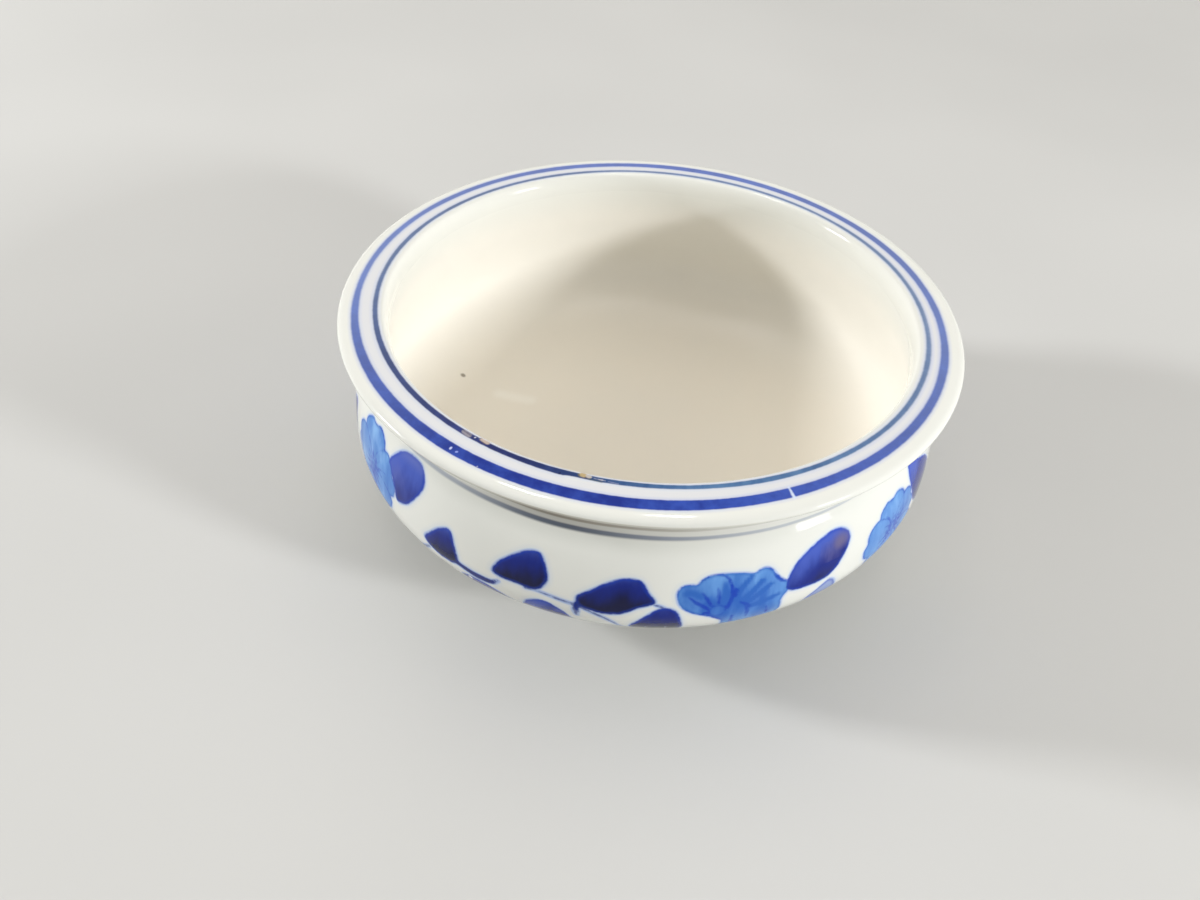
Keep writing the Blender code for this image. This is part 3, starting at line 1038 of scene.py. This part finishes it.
def porcelain(profile):
    """The glazed and painted material, built up from the body to the marks of use, with painted shade,
    painted sheen and a painted reflection among its layers.
    """
    nodes = Nodes("glazed_porcelain_painted")
    nodes.along = nodes.attribute("along")
    nodes.slow = nodes.noise(22, 2)
    nodes.wobble = nodes.noise(60, 2)
    nodes.grain = nodes.noise(900, 3)
    nodes.brush = nodes.noise(260, 3, stretch=(1, 1, 0.35))
    nodes.mottle = nodes.noise(110, 3)
    nodes.rough_edge = nodes.scaled(nodes.grain, 0.5, nodes.times(nodes.mottle, 0.4))
    painted = nodes.math("MINIMUM", nodes.attribute("leaf"), nodes.attribute("petal"))
    base = glazed_body(nodes, profile)
    base = bled_blue(nodes, base, nodes.math("MINIMUM", painted, nodes.attribute("stem")))
    base = stems(nodes, base)
    base = petals(nodes, base)
    base = leaves(nodes, base)
    base = bands(nodes, base, profile)
    base = painted_neck_shade(nodes, base, profile)
    for start, end, half, softness, tint, strength in all_marks():
        mark = nodes.near_line(start, end, half, softness)
        base = nodes.mix(nodes.times(mark, strength), base, colour(tint))
    bare = bare_ring(nodes, profile)
    base = nodes.mix(bare, base, colour(BARE_CLAY))
    nodes.set(nodes.shader.inputs["Base Color"], base)
    nodes.shader.inputs["Specular IOR Level"].default_value = 0.22
    hollow = nodes.spread(nodes.along, profile.lip + 1.5, profile.lip - 2.5, 0.08, 0.4)
    glaze = nodes.scaled(nodes.mottle, 0.06, hollow)
    roughness = nodes.scaled(bare, 0.55, glaze)
    nodes.set(nodes.shader.inputs["Roughness"], roughness)
    bump = nodes.make("ShaderNodeBump")
    bump.inputs["Strength"].default_value = 0.12
    bump.inputs["Distance"].default_value = 0.0002
    height = nodes.scaled(nodes.grain, 0.15, nodes.mottle)
    nodes.set(bump.inputs["Height"], height)
    nodes.set(nodes.shader.inputs["Normal"], bump.outputs[0])
    return nodes.material


def floor_material():
    nodes = Nodes("pale_floor")
    tone = nodes.noise(6, 2)
    base = nodes.mix(nodes.spread(tone, -0.3, 0.3), *[colour(seen) for seen in FLOOR_TONES])
    nodes.set(nodes.shader.inputs["Base Color"], base)
    nodes.shader.inputs["Roughness"].default_value = 0.85
    return nodes.material


# Camera, lights and floor

CAMERA_PLACE = (0.0, -164.76, 153.55)
CAMERA_RIGHT = (0.9946, 0.0923, 0.0474)
CAMERA_UP = (-0.0971, 0.6667, 0.7390)
CAMERA_LENS = 30.0
CAMERA_SENSOR = 36.0
COOL = (0.98, 0.99, 1.0)
WARM = (1.0, 0.88, 0.74)

# Each light's azimuth, elevation, distance and size in metres, power, tint, and the one kind of
# shading that it takes part in
LIGHTS = {
    "key_right": (-25.4, 17.6, 1.2, 0.14, 10.6, COOL, "diffuse"),
    "key_left": (178.0, 20.0, 1.2, 0.14, 10.2, COOL, "diffuse"),
    "overhead": (95.0, 72.0, 1.2, 0.9, 2.1, WARM, "diffuse"),
    "glint_right": (-27.0, 8.0, 1.2, 0.25, 3.5, COOL, "glossy"),
    "glint_left": (-175.0, 12.0, 1.2, 0.25, 5.0, COOL, "glossy"),
    "glint_back": (141.0, 71.0, 1.4, 0.15, 4.4, COOL, "glossy"),
    "glint_top": (46.0, 81.0, 1.4, 0.15, 4.4, COOL, "glossy"),
}
LIGHTS_FACE = (0.0, 0.0, 0.03)
FLOOR_HALF = 3.0


def add_object(name, data):
    thing = bpy.data.objects.new(name, data)
    bpy.context.scene.collection.objects.link(thing)
    return thing


def add_camera():
    data = bpy.data.cameras.new("camera")
    data.lens = CAMERA_LENS
    data.sensor_width = CAMERA_SENSOR
    data.clip_start = 0.01
    camera = add_object("camera", data)
    right = Vector(CAMERA_RIGHT).normalized()
    up = Vector(CAMERA_UP)
    up = (up - right * up.dot(right)).normalized()
    back = right.cross(up)
    turn = Matrix((right, up, back)).transposed()
    camera.matrix_world = Matrix.Translation(Vector(CAMERA_PLACE) * MM) @ turn.to_4x4()
    bpy.context.scene.camera = camera


def add_light(name, azimuth, elevation, distance, size, power, tint, shows):
    """A square soft light that faces the bowl, placed by the direction that it is seen in."""
    data = bpy.data.lights.new(name, "AREA")
    data.size = size
    data.energy = power
    data.color = tint
    light = add_object(name, data)
    light.visible_glossy = shows != "diffuse"
    light.visible_diffuse = shows != "glossy"
    turn, rise = radians(azimuth), radians(elevation)
    away = Vector((cos(rise) * cos(turn), cos(rise) * sin(turn), sin(rise)))
    light.location = Vector(LIGHTS_FACE) + away * distance
    light.rotation_mode = "QUATERNION"
    light.rotation_quaternion = away.to_track_quat("Z", "Y")


def add_floor():
    mesh = bpy.data.meshes.new("floor")
    half = FLOOR_HALF
    mesh.from_pydata([(-half, -half, 0), (half, -half, 0), (half, half, 0), (-half, half, 0)],
                     [], [(0, 1, 2, 3)])
    mesh.materials.append(floor_material())
    floor = add_object("floor", mesh)


def add_world():
    """Soft light from all round, stronger from behind the bowl."""
    world = bpy.data.worlds.new("studio")
    bpy.context.scene.world = world
    world.use_nodes = True
    tree = world.node_tree
    background = tree.nodes["Background"]
    background.inputs["Color"].default_value = (1.0, 0.985, 0.95, 1.0)
    where = tree.nodes.new("ShaderNodeTexCoord")
    facing = tree.nodes.new("ShaderNodeVectorMath")
    facing.operation = "DOT_PRODUCT"
    facing.inputs[1].default_value = (0.25, 0.9, 0.35)
    strength = tree.nodes.new("ShaderNodeMapRange")
    strength.interpolation_type = "SMOOTHSTEP"
    for name, value in (("From Min", -0.7), ("From Max", 0.5), ("To Min", 0.34), ("To Max", 0.7)):
        strength.inputs[name].default_value = value
    tree.links.new(where.outputs["Generated"], facing.inputs[0])
    tree.links.new(facing.outputs["Value"], strength.inputs["Value"])
    tree.links.new(strength.outputs[0], background.inputs["Strength"])


def add_bowl():
    profile = Profile()
    mesh, angle, along = bowl_mesh(profile)
    painting = Painting(angle, along)
    paint(painting)
    store(mesh, "along", along)
    for layers in (painting.layers, rim_layers(profile, angle, along)):
        for name, values in layers.items():
            store(mesh, name, values)
    unwrap(mesh, profile, angle, along)
    mesh.materials.append(porcelain(profile))
    bowl = add_object("bowl_glazed", mesh)
    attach(bowl, "root")
    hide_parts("bowl")


bpy.context.scene.view_settings.view_transform = "Standard"
add_world()
add_floor()
add_camera()
for name, settings in LIGHTS.items():
    add_light(name, *settings)
add_bowl()
